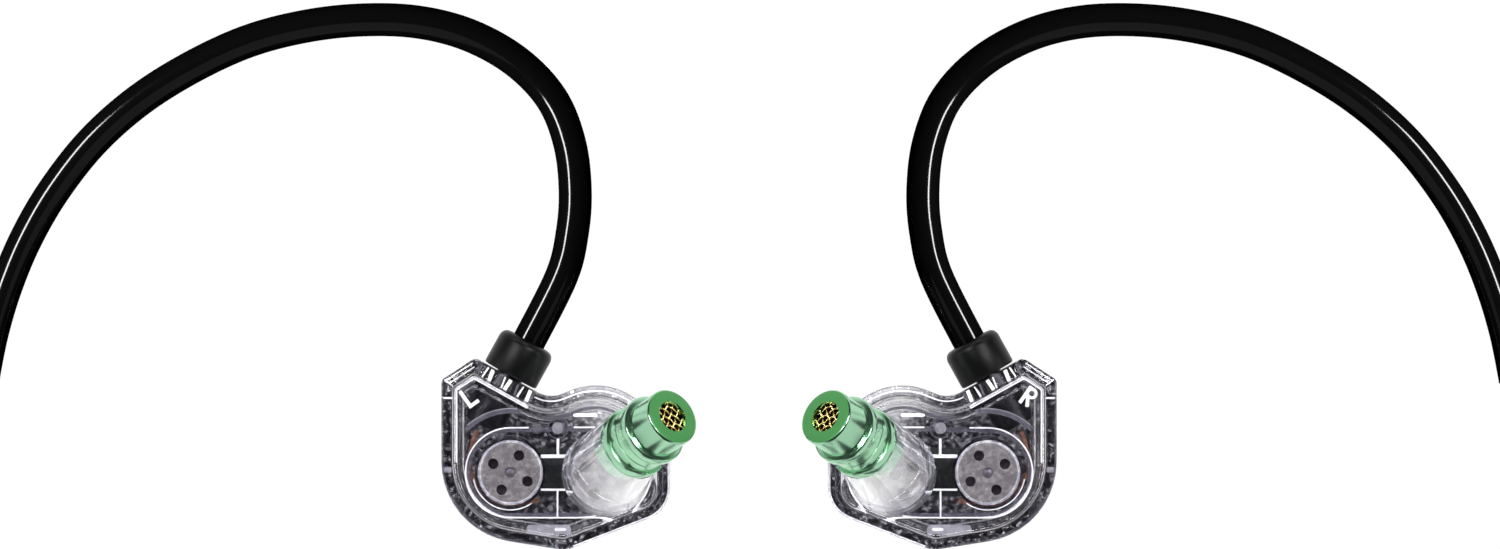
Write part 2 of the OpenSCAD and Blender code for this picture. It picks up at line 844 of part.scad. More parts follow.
outer_shell(LEFT);  // left_outer_shell
outer_shell(RIGHT);  // right_outer_shell
inner_shell(LEFT);  // left_inner_shell
inner_shell(RIGHT);  // right_inner_shell
stem(LEFT);  // left_stem
stem(RIGHT);  // right_stem
nozzle(LEFT);  // left_nozzle
nozzle(RIGHT);  // right_nozzle
nozzle_screen(LEFT);  // left_nozzle_screen
nozzle_screen(RIGHT);  // right_nozzle_screen
acoustic_damper(LEFT);  // left_acoustic_damper
acoustic_damper(RIGHT);  // right_acoustic_damper
driver_case(LEFT, rear_x);  // left_rear_driver_case
driver_case(RIGHT, rear_x);  // right_rear_driver_case
driver_case(LEFT, front_x);  // left_front_driver_case
driver_case(RIGHT, front_x);  // right_front_driver_case
driver_magnets(LEFT);  // left_driver_magnets
driver_magnets(RIGHT);  // right_driver_magnets
driver_diaphragms(LEFT);  // left_driver_diaphragms
driver_diaphragms(RIGHT);  // right_driver_diaphragms
crossover_board(LEFT);  // left_crossover_board
crossover_board(RIGHT);  // right_crossover_board
signal_wires(LEFT);  // left_signal_wires
signal_wires(RIGHT);  // right_signal_wires
socket_sleeve(LEFT);  // left_socket_sleeve
socket_sleeve(RIGHT);  // right_socket_sleeve
socket_insulator(LEFT);  // left_socket_insulator
socket_insulator(RIGHT);  // right_socket_insulator
socket_contact(LEFT);  // left_socket_contact
socket_contact(RIGHT);  // right_socket_contact
channel_letter(LEFT);  // left_channel_letter
channel_letter(RIGHT);  // right_channel_letter
snap_ring(LEFT);  // left_snap_ring
snap_ring(RIGHT);  // right_snap_ring
plug_sleeve(LEFT);  // left_plug_sleeve
plug_sleeve(RIGHT);  // right_plug_sleeve
plug_insulator(LEFT);  // left_plug_insulator
plug_insulator(RIGHT);  // right_plug_insulator
plug_pin(LEFT);  // left_plug_pin
plug_pin(RIGHT);  // right_plug_pin
collar(LEFT);  // left_collar
collar(RIGHT);  // right_collar
ear_hook(LEFT);  // left_ear_hook
ear_hook(RIGHT);  // right_ear_hook
lead(LEFT);  // left_lead
lead(RIGHT);  // right_lead
lead_coil(LEFT);  // left_lead_coil
lead_coil(RIGHT);  // right_lead_coil
chin_slider();
splitter();
main_lead();
main_lead_coil();
cable_ties();
jack_strain_relief();
jack_handle();
jack_insulator();
jack_sleeve();
jack_ring();
jack_tip();
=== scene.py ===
import json
import math

import bmesh
import bpy
from mathutils import Matrix, Vector

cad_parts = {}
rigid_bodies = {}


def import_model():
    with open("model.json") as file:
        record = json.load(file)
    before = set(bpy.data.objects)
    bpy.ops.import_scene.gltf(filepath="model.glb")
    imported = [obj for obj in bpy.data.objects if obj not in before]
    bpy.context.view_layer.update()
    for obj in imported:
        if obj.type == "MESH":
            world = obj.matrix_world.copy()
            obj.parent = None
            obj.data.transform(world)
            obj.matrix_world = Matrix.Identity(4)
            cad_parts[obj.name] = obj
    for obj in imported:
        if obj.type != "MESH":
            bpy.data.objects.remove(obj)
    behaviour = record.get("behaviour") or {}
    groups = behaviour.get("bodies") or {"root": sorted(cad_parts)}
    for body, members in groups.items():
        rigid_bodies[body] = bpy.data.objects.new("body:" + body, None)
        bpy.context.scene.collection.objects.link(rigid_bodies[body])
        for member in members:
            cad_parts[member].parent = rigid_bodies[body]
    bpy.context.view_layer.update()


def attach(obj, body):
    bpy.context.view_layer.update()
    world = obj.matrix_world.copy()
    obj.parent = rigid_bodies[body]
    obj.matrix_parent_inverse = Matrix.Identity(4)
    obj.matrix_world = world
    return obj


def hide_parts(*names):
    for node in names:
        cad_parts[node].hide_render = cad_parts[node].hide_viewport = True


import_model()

# ---- Camera ----
# Straight above the pair, with a long lens, so the shapes keep their plan.
# The view takes in both ear hooks and leaves the coils below it.
camera = bpy.data.objects.new("main_camera", bpy.data.cameras.new("main_camera"))
camera.data.lens = 180
camera.data.sensor_width = 36
camera.data.clip_start = 0.05
camera.data.clip_end = 5
camera.location = (0.0001, 0.00017, 0.7925)
bpy.context.collection.objects.link(camera)
bpy.context.scene.camera = camera
bpy.context.scene.view_settings.view_transform = "Standard"

# ---- Light table and soft boxes ----
# White glowing floor under the pair, as in a light tent.
# Low soft boxes give the tilted nozzles and the shells their bright edges.


def srgb(code):
    """Linear RGBA of an sRGB hex colour."""
    values = [int(code[i : i + 2], 16) / 255 for i in (1, 3, 5)]
    return tuple(v / 12.92 if v <= 0.04045 else ((v + 0.055) / 1.055) ** 2.4 for v in values) + (1,)


def add_node(tree, kind, values=None, **settings):
    """New node of a kind, with its input values by name and its settings."""
    made = tree.nodes.new(kind)
    for key, value in settings.items():
        setattr(made, key, value)
    for key, value in (values or {}).items():
        made.inputs[key].default_value = value
    return made


def link(tree, a, b):
    tree.links.new(a, b)


def new_material(name):
    """Material with only its output, as (material, tree, output node)."""
    made = bpy.data.materials.new(name)
    made.use_nodes = True
    made.node_tree.nodes.clear()
    return made, made.node_tree, add_node(made.node_tree, "ShaderNodeOutputMaterial")


def soft_box(name, at, size, radiance, aim=(0, -0.01, 0)):
    """Area light that faces a point, with a brightness that doesn't depend on its size."""
    lamp = bpy.data.lights.new(name, "AREA")
    lamp.shape = "RECTANGLE"
    lamp.size = size[0]
    lamp.size_y = size[1]
    lamp.energy = radiance * math.pi * size[0] * size[1]
    made = bpy.data.objects.new(name, lamp)
    made.location = at
    made.rotation_euler = (Vector(aim) - Vector(at)).to_track_quat("-Z", "Y").to_euler()
    bpy.context.collection.objects.link(made)
    return made


general_boxes = [
    soft_box("top_left_box", (-0.42, 0.28, 0.75), (0.12, 0.45), 26),
    soft_box("top_right_box", (0.42, 0.28, 0.75), (0.12, 0.45), 26),
    soft_box("low_left_box", (-0.5, -0.36, 0.1), (0.85, 0.4), 0.8, (0, -0.01, 0.02)),
    soft_box("low_right_box", (0.5, -0.36, 0.1), (0.85, 0.4), 0.8, (0, -0.01, 0.02)),
    soft_box("left_strip", (-0.55, -0.1, 0.22), (0.6, 0.04), 16),
    soft_box("right_strip", (0.55, -0.1, 0.22), (0.6, 0.04), 16),
    soft_box("back_strip", (0, 0.6, 0.24), (0.9, 0.05), 14),
    soft_box("front_strip", (0, -0.6, 0.3), (0.9, 0.05), 14),
]

world = bpy.data.worlds.new("dim_room")
world.use_nodes = True
world.node_tree.nodes["Background"].inputs["Color"].default_value = (0.04, 0.04, 0.045, 1)
bpy.context.scene.world = world

floor_material, tree, output = new_material("light_table")
glow = add_node(tree, "ShaderNodeEmission", {"Color": (1, 1, 1, 1), "Strength": 1.02})
link(tree, glow.outputs[0], output.inputs["Surface"])
floor_mesh = bpy.data.meshes.new("light_table")
floor_mesh.from_pydata(
    [(-0.9, -0.9, -0.0001), (0.9, -0.9, -0.0001), (0.9, 0.9, -0.0001), (-0.9, 0.9, -0.0001)],
    [],
    [(0, 1, 2, 3)],
)
floor_mesh.materials.append(floor_material)
floor = bpy.data.objects.new("light_table", floor_mesh)
bpy.context.collection.objects.link(floor)

# ---- Leads and main lead ----
# Round cables with a matt jacket, laid flat and coiled, each coil held by ties.
# A lead leaves the end of its ear hook and runs to the splitter; the main lead runs to the jack plug.


def principled(name, colour, rough, grain=0.0, size=0.3, metallic=0.0, edge=0.0, **values):
    """Opaque material. grain is the bump height in mm of noise with features of size mm."""
    made, tree, output = new_material(name)
    shader = add_node(tree, "ShaderNodeBsdfPrincipled", {"Base Color": srgb(colour)})
    shader.inputs["Roughness"].default_value = rough
    shader.inputs["Metallic"].default_value = metallic
    for key, value in values.items():
        shader.inputs[key.replace("_", " ")].default_value = value
    link(tree, shader.outputs[0], output.inputs["Surface"])
    normal = None
    if edge:
        normal = add_node(tree, "ShaderNodeBevel", {"Radius": edge / 1000}, samples=4).outputs[0]
    if grain:
        place = add_node(tree, "ShaderNodeTexCoord")
        noise = add_node(tree, "ShaderNodeTexNoise", {"Scale": 1000 / size, "Detail": 4})
        bump = add_node(tree, "ShaderNodeBump", {"Distance": grain / 1000, "Strength": 1})
        vary = add_node(tree, "ShaderNodeMapRange", {"To Min": rough * 0.8, "To Max": rough * 1.2})
        link(tree, place.outputs["Object"], noise.inputs["Vector"])
        link(tree, noise.outputs[0], bump.inputs["Height"])
        link(tree, noise.outputs[0], vary.inputs[0])
        link(tree, vary.outputs[0], shader.inputs["Roughness"])
        if normal:
            link(tree, normal, bump.inputs["Normal"])
        normal = bump.outputs[0]
    if normal:
        link(tree, normal, shader.inputs["Normal"])
    return made


def smooth_route(points, steps=6):
    """Catmull-Rom line through the points."""
    line = []
    for i in range(len(points) - 1):
        a, b = Vector(points[max(i - 1, 0)]), Vector(points[i])
        c, d = Vector(points[i + 1]), Vector(points[min(i + 2, len(points) - 1)])
        for k in range(steps):
            t = k / steps
            line.append(
                0.5
                * (2 * b + (c - a) * t + (2 * a - 5 * b + 4 * c - d) * t**2)
                + 0.5 * (3 * b - a - 3 * c + d) * t**3
            )
    return line + [Vector(points[-1])]


def ease(value, start, end):
    """0 before start, 1 after end, smooth between."""
    t = min(max((value - start) / (end - start), 0), 1)
    return t * t * (3 - 2 * t)


def cable(name, line, diameter, material):
    """Cable along a line in mm, as one open spline with a round section."""
    data = bpy.data.curves.new(name, "CURVE")
    data.dimensions = "3D"
    data.bevel_depth = diameter / 2000
    data.bevel_resolution = 6
    data.use_fill_caps = True
    spline = data.splines.new("POLY")
    spline.points.add(len(line) - 1)
    for point, at in zip(spline.points, line):
        point.co = (at[0] / 1000, at[1] / 1000, at[2] / 1000, 1)
    spline.use_smooth = True
    data.materials.append(material)
    made = bpy.data.objects.new(name, data)
    bpy.context.collection.objects.link(made)
    return made


def mirrored(points, side):
    return [(side * p[0], p[1], p[2]) for p in points]


jacket = principled("cable_jacket", "#17181a", 0.42, grain=0.004, size=0.25)

# One lead: from the hook's end, 2.25 turns of a coil three layers high, then to the splitter
lead_line = smooth_route(
    [
        (-80.6, -9.5, 1.75), (-80.8, -11, 1.75), (-81.3, -17, 1.3), (-81.4, -23, 1.05), (-80.9, -29, 1.05),
        (-79.8, -35, 1.2), (-78.2, -41, 1.5), (-77, -46, 1.6),
    ]
)
for step in range(1, 54):
    turns = step / 24
    layer = math.floor(turns)
    angle = math.pi + turns * math.tau
    height = 1.6 + 2 * (layer + ease(turns - layer, 0.7, 1))
    lead_line.append(Vector((-66 + 11 * math.cos(angle), -46 + 11 * math.sin(angle), height)))
lead_line += smooth_route(
    [
        (-66, -57, 5.6), (-60, -57.2, 5.4), (-53, -56, 3.6), (-45, -53.4, 1.5), (-36, -48.4, 1.05),
        (-27, -42.8, 1.05), (-18, -39, 1.05), (-10, -37.6, 1.05), (-4.8, -38.6, 1.2), (-2.2, -42, 1.7),
        (-1.6, -47, 2), (-1.6, -60, 2), (-1.6, -70.5, 2),
    ]
)
leads = {}
for side_name, side in (("left", 1), ("right", -1)):
    lead = cable(f"{side_name}_lead_cable", mirrored(lead_line, side), 2, jacket)
    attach(lead, "cable_set")
    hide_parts(f"{side_name}_lead", f"{side_name}_lead_coil")
    leads[side_name] = lead

# Main lead: four turns inwards on the surface, four outwards on top of them, then to the jack plug
main_line = smooth_route(
    [
        (0, -80.5, 2), (0.05, -81.5, 2), (0.6, -83.6, 1.7), (2.6, -86, 1.4), (6, -87.6, 1.35),
        (11, -88.2, 1.35), (17, -88, 1.4), (23, -87.3, 1.7), (28, -86.9, 1.9),
    ]
)
for step in range(1, 8 * 28 - 3):
    turns = step / 28
    lap = math.floor(turns)
    moved = ease(turns - lap, 0.87, 1)
    inwards = min(lap, 3) + (moved if lap < 3 else 0)
    outwards = max(lap - 4, 0) + (moved if 4 <= lap < 7 else 0)
    radius = 17.9 - 2.6 * (inwards - outwards)
    height = 4.5 if lap > 3 else 1.9 + (2.6 * moved if lap == 3 else 0)
    angle = -math.pi / 2 + turns * math.tau
    main_line.append(Vector((28 + radius * math.cos(angle), -69 + radius * math.sin(angle), height)))
main_line += smooth_route(
    [
        (17.6, -84.4, 4.5), (22.3, -88.2, 4.5), (28, -89.9, 4.5), (34, -89.4, 4.4), (40, -86.3, 4),
        (44.3, -81.8, 3.7), (47.6, -77.6, 3.5), (51, -76, 3.5), (52.5, -75.9, 3.5),
    ]
)
main_lead = cable("main_lead_cable", main_line, 2.6, jacket)
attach(main_lead, "cable_set")
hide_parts("main_lead", "main_lead_coil")

# ---- Chin slider and splitter ----
# Moulded black pieces on the leads, with rounded ends and grip lines.
# The slider rides up the two leads; the splitter joins them to the main lead.


def plain_object(name, verts, faces, materials, side=1):
    """Mesh object from points in mm; side -1 mirrors it for the right. Faces are (corners, slot)."""
    mesh = bpy.data.meshes.new(name)
    points = [(side * v[0] * 0.001, v[1] * 0.001, v[2] * 0.001) for v in verts]
    mesh.from_pydata(points, [], [f[0] for f in faces])
    for material in materials:
        mesh.materials.append(material)
    for polygon, face in zip(mesh.polygons, faces):
        polygon.material_index = face[1]
        polygon.use_smooth = True
    shape = bmesh.new()
    shape.from_mesh(mesh)
    bmesh.ops.remove_doubles(shape, verts=shape.verts, dist=1e-7)
    bmesh.ops.recalc_face_normals(shape, faces=shape.faces)
    shape.to_mesh(mesh)
    shape.free()
    mesh.set_sharp_from_angle(angle=math.radians(50))
    made = bpy.data.objects.new(name, mesh)
    bpy.context.collection.objects.link(made)
    return made


def loft(rings, slot=0, closed=False, start=0):
    """Skin over rings with the same number of points, capped at both ends unless closed."""
    count = len(rings[0])
    verts = [tuple(p) for ring in rings for p in ring]
    faces = []
    for i in range(len(rings) - (0 if closed else 1)):
        a, b = i * count, ((i + 1) % len(rings)) * count
        for k in range(count):
            n = (k + 1) % count
            faces.append(([start + a + k, start + a + n, start + b + n, start + b + k], slot))
    if not closed:
        faces.append(([start + k for k in range(count)], slot))
        faces.append(([start + (len(rings) - 1) * count + k for k in range(count)], slot))
    return verts, faces


def rounded_box(width, height, corner, steps=5):
    """Points round a rectangle with round corners, centred."""
    points = []
    for quarter, (sx, sz) in enumerate(((1, 1), (-1, 1), (-1, -1), (1, -1))):
        for k in range(steps + 1):
            angle = math.radians(90 * (quarter + k / steps))
            points.append(
                (
                    sx * (width / 2 - corner) + corner * math.cos(angle),
                    sz * (height / 2 - corner) + corner * math.sin(angle),
                )
            )
    return points


moulded = principled("moulded_black", "#1a1b1d", 0.5, grain=0.01, size=0.2)

# Chin slider: (y, share of the full section), with two grip grooves
slider_profile = [
    (-69, 0.72), (-68.85, 0.9), (-68.4, 1), (-66.4, 1), (-66.2, 0.94), (-65.9, 0.94), (-65.7, 1),
    (-64.9, 1), (-64.7, 0.94), (-64.4, 0.94), (-64.2, 1), (-61.6, 1), (-61.15, 0.9), (-61, 0.72),
]
rings = [[(x, y, 2 + z) for x, z in rounded_box(7 * k, 4 * k, 1.5 * k)] for y, k in slider_profile]
verts, faces = loft(rings)
slider = plain_object("chin_slider_moulding", verts, faces, [moulded])
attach(slider, "chin_slider")
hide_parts("chin_slider")

# Splitter: (y, width, share of the full height), with one groove and a taper to the main lead
splitter_profile = [
    (-70, 7, 0.8), (-70.2, 7.4, 0.95), (-70.6, 7.6, 1), (-73, 7.4, 1), (-73.2, 7.1, 0.93), (-73.6, 7, 0.93),
    (-73.8, 7.2, 1), (-77, 5.9, 1), (-80.4, 4.5, 1), (-80.85, 4.3, 0.92), (-81, 3.6, 0.8),
]
rings = [[(x, y, 2 + z) for x, z in rounded_box(w, 4 * k, 1.7 * k)] for y, w, k in splitter_profile]
verts, faces = loft(rings)
splitter = plain_object("splitter_moulding", verts, faces, [moulded])
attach(splitter, "cable_set")
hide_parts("splitter")

# ---- Jack plug ----
# Straight 3.5 mm stereo plug: black handle with a ribbed, tapered strain relief.
# The contacts are nickel over brass, parted by black bands, as they come from CAD.


def revolve(profile, at, sides=48, slot=0, start=0):
    """Closed ring of (radius, along) points turned about a matrix's Z axis."""
    rings = []
    for k in range(sides):
        angle = math.tau * k / sides
        rings.append([at @ Vector((r * math.cos(angle), r * math.sin(angle), z)) for r, z in profile])
    return loft(rings, slot, closed=True, start=start)


def placed(at, turn, tilt):
    """Matrix of a local frame: tilted about Y, then turned about Z, then moved."""
    turned = Matrix.Rotation(math.radians(turn), 4, "Z") @ Matrix.Rotation(math.radians(tilt), 4, "Y")
    return Matrix.Translation(at) @ turned


jack_frame = placed((51, -76, 3.5), 0, 90)
relief = [(1.32, 0), (1.6, 0), (1.75, 0.15)]
for k in range(5):
    near = 0.9 + k * 1.15
    wide = 1.8 + 0.14 * near
    relief += [(wide, near - 0.2), (wide - 0.35, near), (wide - 0.35, near + 0.4), (wide + 0.1, near + 0.6)]
relief += [(2.65, 7), (1.32, 7)]
verts, faces = revolve(relief, jack_frame, 32)
jack_relief = plain_object("jack_relief_moulding", verts, faces, [moulded])
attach(jack_relief, "cable_set")
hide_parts("jack_strain_relief")

handle = [(1, 7), (2.9, 7), (3.2, 7.1), (3.45, 7.4), (3.5, 7.8)]
for k in range(6):
    near = 9.6 + k * 1.1
    handle += [(3.5, near), (3.3, near + 0.15), (3.3, near + 0.4), (3.5, near + 0.55)]
handle += [(3.5, 18.3), (3.4, 18.7), (3.1, 19), (1, 19)]
verts, faces = revolve(handle, jack_frame, 48)
jack_handle = plain_object("jack_handle_moulding", verts, faces, [moulded])
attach(jack_handle, "cable_set")
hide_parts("jack_handle")


def paint(material, *nodes):
    """Give CAD nodes a material."""
    for node in nodes:
        data = bpy.data.objects[node].data
        data.materials.clear()
        data.materials.append(material)


nickel = principled("nickel", "#c9c3b4", 0.16, grain=0.001, size=0.15, metallic=1, edge=0.12)
band = principled("jack_band", "#111214", 0.35, edge=0.05)
paint(nickel, "jack_sleeve", "jack_ring", "jack_tip")
paint(band, "jack_insulator")

# ---- Cable ties ----
# Woven hook-and-loop bands, closed round each coil.
tie_material = principled("tie_fabric", "#202124", 0.85, grain=0.06, size=0.35, edge=0.15)
paint(tie_material, "cable_ties")

# ---- Ear hooks ----
# Preformed tube over the lead, bent to go over the ear, glossy black and smooth.
# It is glued into the moulded collar of the plug and rides with the cable.


def sweep_tree():
    """Geometry Nodes: round tube along a line of edges, with its radius and material as inputs."""
    tree = bpy.data.node_groups.new("sweep", "GeometryNodeTree")
    tree.interface.new_socket("Geometry", in_out="INPUT", socket_type="NodeSocketGeometry")
    tree.interface.new_socket("Radius", in_out="INPUT", socket_type="NodeSocketFloat")
    tree.interface.new_socket("Sides", in_out="INPUT", socket_type="NodeSocketInt")
    tree.interface.new_socket("Material", in_out="INPUT", socket_type="NodeSocketMaterial")
    tree.interface.new_socket("Geometry", in_out="OUTPUT", socket_type="NodeSocketGeometry")
    given = add_node(tree, "NodeGroupInput")
    line = add_node(tree, "GeometryNodeMeshToCurve")
    circle = add_node(tree, "GeometryNodeCurvePrimitiveCircle")
    tube = add_node(tree, "GeometryNodeCurveToMesh", {"Fill Caps": True})
    shade = add_node(tree, "GeometryNodeSetMaterial")
    result = add_node(tree, "NodeGroupOutput")
    link(tree, given.outputs["Geometry"], line.inputs["Mesh"])
    link(tree, given.outputs["Radius"], circle.inputs["Radius"])
    link(tree, given.outputs["Sides"], circle.inputs["Resolution"])
    link(tree, line.outputs["Curve"], tube.inputs["Curve"])
    link(tree, circle.outputs["Curve"], tube.inputs["Profile Curve"])
    link(tree, tube.outputs["Mesh"], shade.inputs["Geometry"])
    link(tree, given.outputs["Material"], shade.inputs["Material"])
    link(tree, shade.outputs["Geometry"], result.inputs["Geometry"])
    return tree


def run_nodes(obj, tree, values):
    """Apply a node tree with these input values and keep the result as a plain mesh."""
    modifier = obj.modifiers.new("nodes", "NODES")
    modifier.node_group = tree
    for item in tree.interface.items_tree:
        if item.item_type == "SOCKET" and item.in_out == "INPUT" and item.name in values:
            modifier[item.identifier] = values[item.name]
    shown = obj.evaluated_get(bpy.context.evaluated_depsgraph_get())
    mesh = bpy.data.meshes.new_from_object(shown)
    mesh.name = obj.name
    obj.modifiers.remove(modifier)
    obj.data = mesh
    for polygon in mesh.polygons:
        polygon.use_smooth = True
    return obj


def edge_line(name, line):
    """Object made of edges only, along a line in mm."""
    mesh = bpy.data.meshes.new(name)
    points = [(p[0] / 1000, p[1] / 1000, p[2] / 1000) for p in line]
    mesh.from_pydata(points, [(i, i + 1) for i in range(len(line) - 1)], [])
    made = bpy.data.objects.new(name, mesh)
    bpy.context.collection.objects.link(made)
    return made


sleeve = principled("glossy_sleeve", "#030303", 0.1, grain=0.0008, size=1.2, Specular_IOR_Level=0.1)
sweep = sweep_tree()
hook_line = smooth_route(
    [
        (-23.6, -7.7, 4.6), (-23.114, -6.812, 4.6), (-19.7, 0, 4.3), (-18.6, 4.5, 3.7), (-18.3, 9, 3),
        (-18.9, 14, 2.4), (-20.8, 18.7, 2), (-24.5, 22.6, 1.8), (-29.5, 25.4, 1.75), (-35, 26.8, 1.75),
        (-41, 27, 1.75),
        (-47, 26.3, 1.75), (-53, 24.7, 1.75), (-59, 21.9, 1.75), (-64.5, 18.4, 1.75), (-69.3, 14.1, 1.75),
        (-73.3, 9, 1.75), (-76.2, 4, 1.75), (-78.3, -1, 1.75), (-79.8, -6, 1.75), (-80.8, -11, 1.75),
    ],
    8,
)
hooks = bpy.data.collections.new("hook_sleeves")
for side_name, side in (("left", 1), ("right", -1)):
    hook = edge_line(f"{side_name}_hook_sleeve", mirrored(hook_line, side))
    run_nodes(hook, sweep, {"Radius": 0.00175, "Sides": 40, "Material": sleeve})
    hook.data.set_sharp_from_angle(angle=math.radians(50))
    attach(hook, "cable_set")
    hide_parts(f"{side_name}_ear_hook")
    hooks.objects.link(hook)
    own = bpy.data.collections.new(f"{side_name}_hook_lights")
    own.objects.link(hook)
    # The strip draws the white line down the hook's inner side, the glow its faint lower half
    streak_at = (-0.33 * side, 0.05, 0.36)
    streak = soft_box(f"{side_name}_hook_strip", streak_at, (0.36, 0.07), 130, (-0.02 * side, 0, 0))
    streak.light_linking.receiver_collection = own
    glow = soft_box(f"{side_name}_hook_glow", (0.1 * side, -0.42, 0.36), (0.9, 0.75), 0.9)
    glow.light_linking.receiver_collection = own

# The floor and the general boxes leave the hooks out; the strips leave the nozzles out too
soft_lit = bpy.data.collections.new("soft_lit")
for hook in hooks.objects:
    soft_lit.objects.link(hook)
for box in [floor] + general_boxes:
    box.light_linking.receiver_collection = soft_lit if "strip" in box.name else hooks
for group in (hooks, soft_lit):
    for member in group.collection_objects:
        member.light_linking.link_state = "EXCLUDE"

# ---- Collars and coaxial connectors ----
# Matt moulded collar over each plug, with a rounded top and a fine moulded texture.
# The plug and socket inside are gold-plated metal with white insulators; their sleeves are dark, and on the
# plug's sleeve the dark is painted shade for the gap under the collar.
collar_black = principled("collar_black", "#050506", 0.36, grain=0.014, size=0.13, Specular_IOR_Level=0.17)
sleeve_dark_and_gap_shade = principled("socket_sleeve", "#1d1c20", 0.3, grain=0.002, size=0.2, metallic=0.6, edge=0.05)
seat_frame = placed((-25.198, -10.573, 4.6), 61, 90)
collar = [
    (1.55, 0.2), (2.85, 0.2), (3, 0.28), (3.05, 0.45), (3.05, 3.45), (2.98, 3.75), (2.8, 4.05),
    (2.5, 4.24), (2.15, 4.3), (1.95, 4.22), (1.8, 4.05), (1.76, 3.8), (1.55, 3.6),
]
gold = principled("gold_plate", "#e6bf6a", 0.2, grain=0.001, size=0.2, metallic=1, edge=0.05)
white_plastic = principled("insulator", "#e4e2dc", 0.4, grain=0.003, size=0.2)
for side_name, side in (("left", 1), ("right", -1)):
    verts, faces = revolve(collar, seat_frame, 64)
    made = plain_object(f"{side_name}_collar_moulding", verts, faces, [collar_black], side)
    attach(made, "cable_set")
    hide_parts(f"{side_name}_collar")
    # Both sleeves take the dark sleeve colour; on the plug's sleeve it is painted shade in the gap under the
    # collar.
    paint(sleeve_dark_and_gap_shade, f"{side_name}_socket_sleeve", f"{side_name}_plug_sleeve")
    for piece in ("socket_contact", "plug_pin", "snap_ring"):
        paint(gold, f"{side_name}_{piece}")
    for piece in ("socket_insulator", "plug_insulator"):
        paint(white_plastic, f"{side_name}_{piece}")

# ---- Shells ----
# Two moulded polycarbonate halves welded at a flange: a smoke-tinted tray and a clearer raised half.
# Ribs, driver cups and a locating post stand on the inside of the raised half and show through it. The white
# and grey on them, and on thin walls along the plan, are painted highlights for the bright lines in the
# plastic.
OUTLINE = [
    (-32.3, 6.115, 0.8), (-32.3, -9.7, 8.5), (-19.2, -11.8, 3), (-8.3, -7.6, 3.5), (-8.3, 1.6, 4),
    (-15.2, 6.4, 7), (-21, 4.1, 3), (-28.784, 8.415, 0.8),
]


def outline(inset, height, steps=10):
    """Ring of the shell's plan moved in by inset, with round corners, in the final frame."""
    ring = []
    for i, (x, y, radius) in enumerate(OUTLINE):
        here = Vector((x, y))
        before = Vector(OUTLINE[i - 1][:2])
        after = Vector(OUTLINE[(i + 1) % len(OUTLINE)][:2])
        a = (here - before).normalized()
        b = (after - here).normalized()
        na, nb = Vector((-a.y, a.x)), Vector((-b.y, b.x))
        turn = math.atan2(a.x * b.y - a.y * b.x, a.dot(b))
        hand = 1 if turn > 0 else -1
        at = here + (na + nb) * inset / (1 + na.dot(nb))
        r = max(radius - hand * inset, 0.15)
        begin = at - a * r * math.tan(abs(turn) / 2)
        centre = begin + na * r * hand
        arm = begin - centre
        for k in range(steps + 1):
            t = turn * k / steps
            spun = (arm.x * math.cos(t) - arm.y * math.sin(t), arm.x * math.sin(t) + arm.y * math.cos(t))
            p = centre + Vector(spun)
            ring.append((p.x, p.y - 17, height))
    return ring


LOBE = (0.0125, -0.0105, 0.006)
LOBE_REACH = (0.0055, 0.0095)


